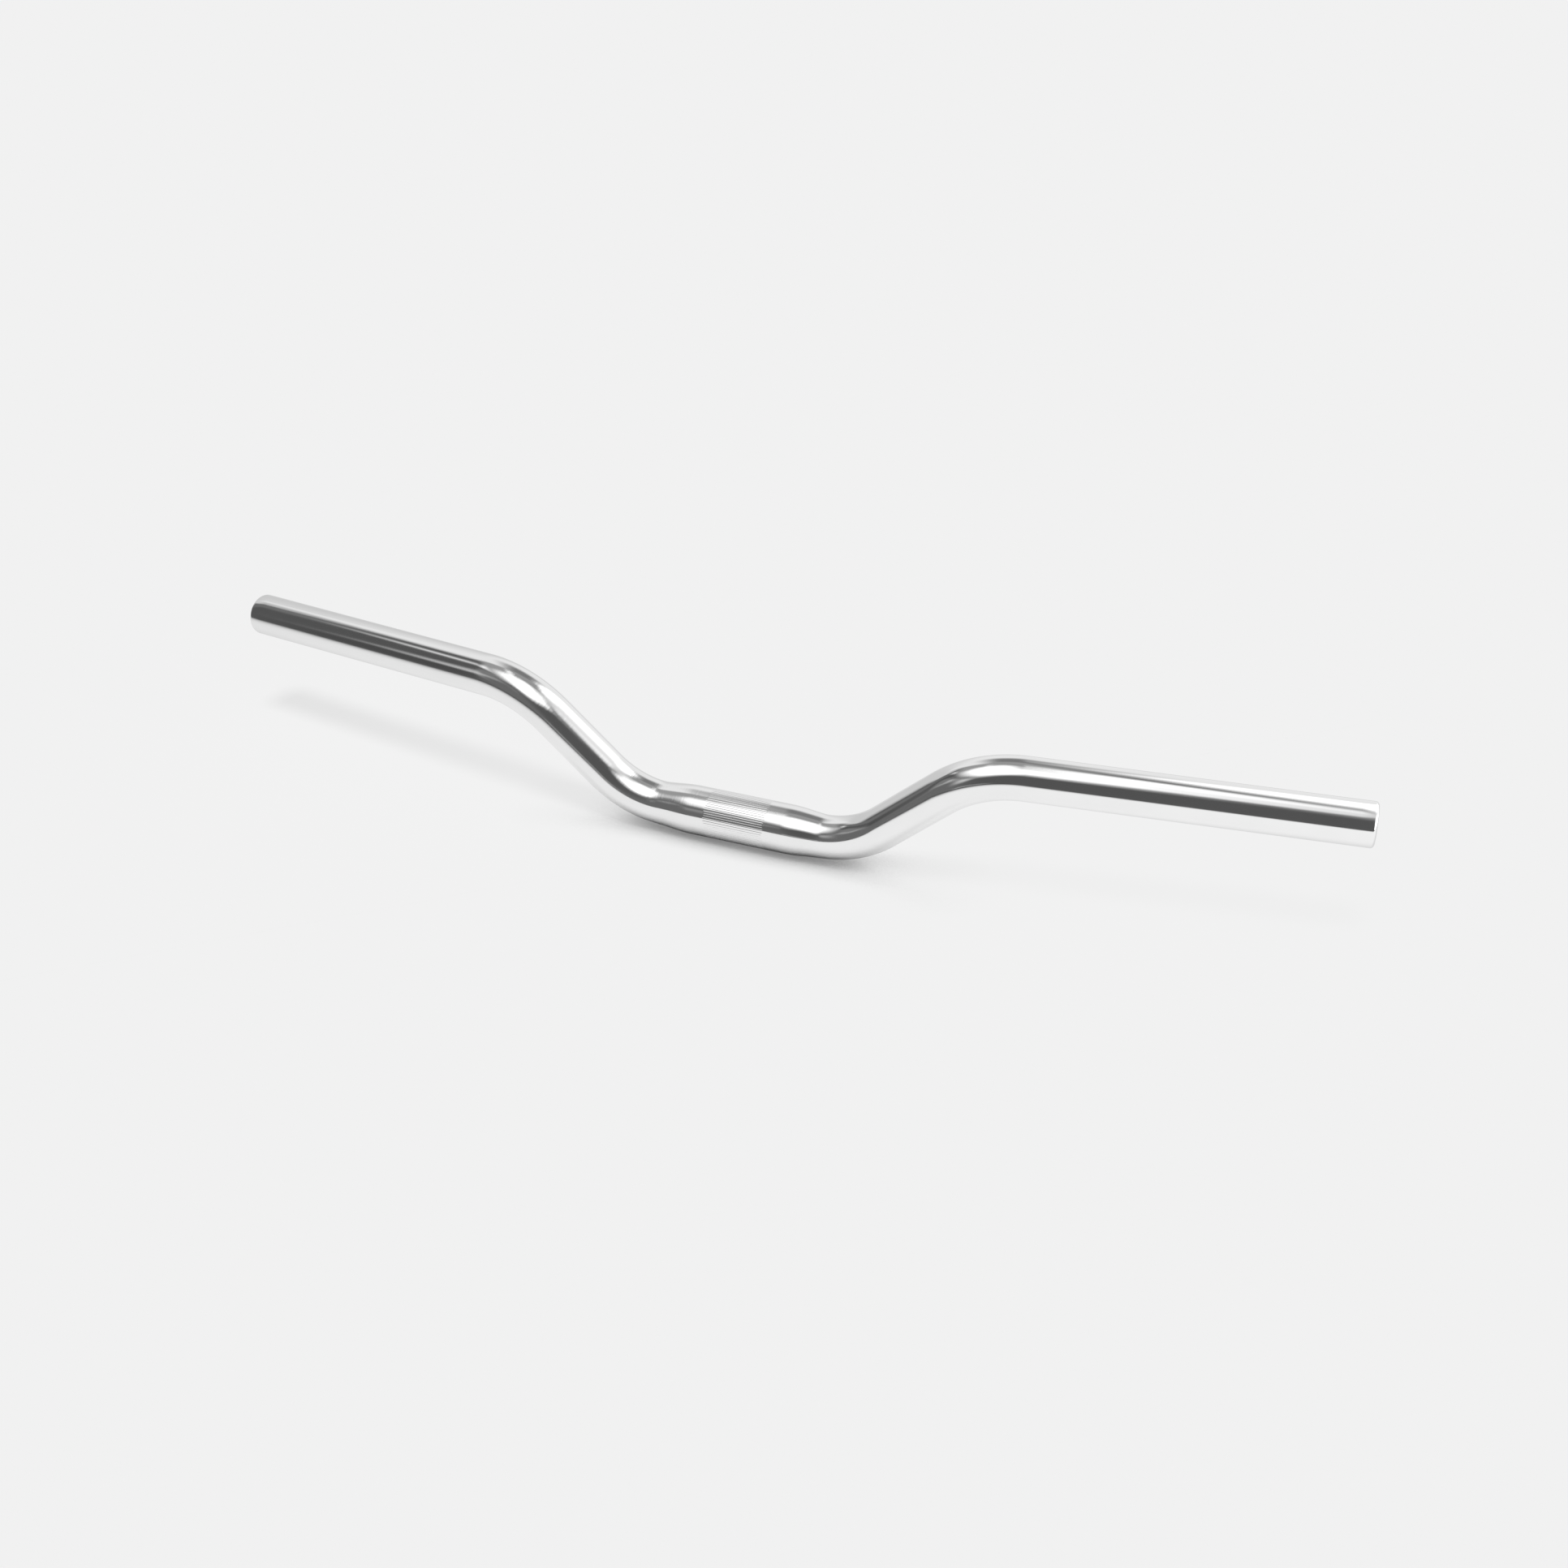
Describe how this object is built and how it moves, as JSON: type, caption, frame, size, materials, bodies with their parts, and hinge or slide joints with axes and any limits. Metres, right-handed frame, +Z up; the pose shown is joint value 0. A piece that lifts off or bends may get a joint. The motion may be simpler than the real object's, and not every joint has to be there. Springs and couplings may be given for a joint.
{
  "type": "riser handlebar",
  "caption": "One-piece riser handlebar of polished aluminium tube with a bulged, fluted clamp zone, raised swept-back grips and open ends.",
  "frame": {"origin": "middle of the clamp zone, on its axis", "axes": "+X along the clamp zone's axis towards the right grip as the picture shows it, +Z up the rise, +Y the way the grips sweep back"},
  "size_m": [0.6234, 0.0575, 0.0758],
  "materials": {
    "aluminium": "polished"
  },
  "bodies": {
    "root": {"handlebar": "aluminium"}
  },
  "joints": []
}
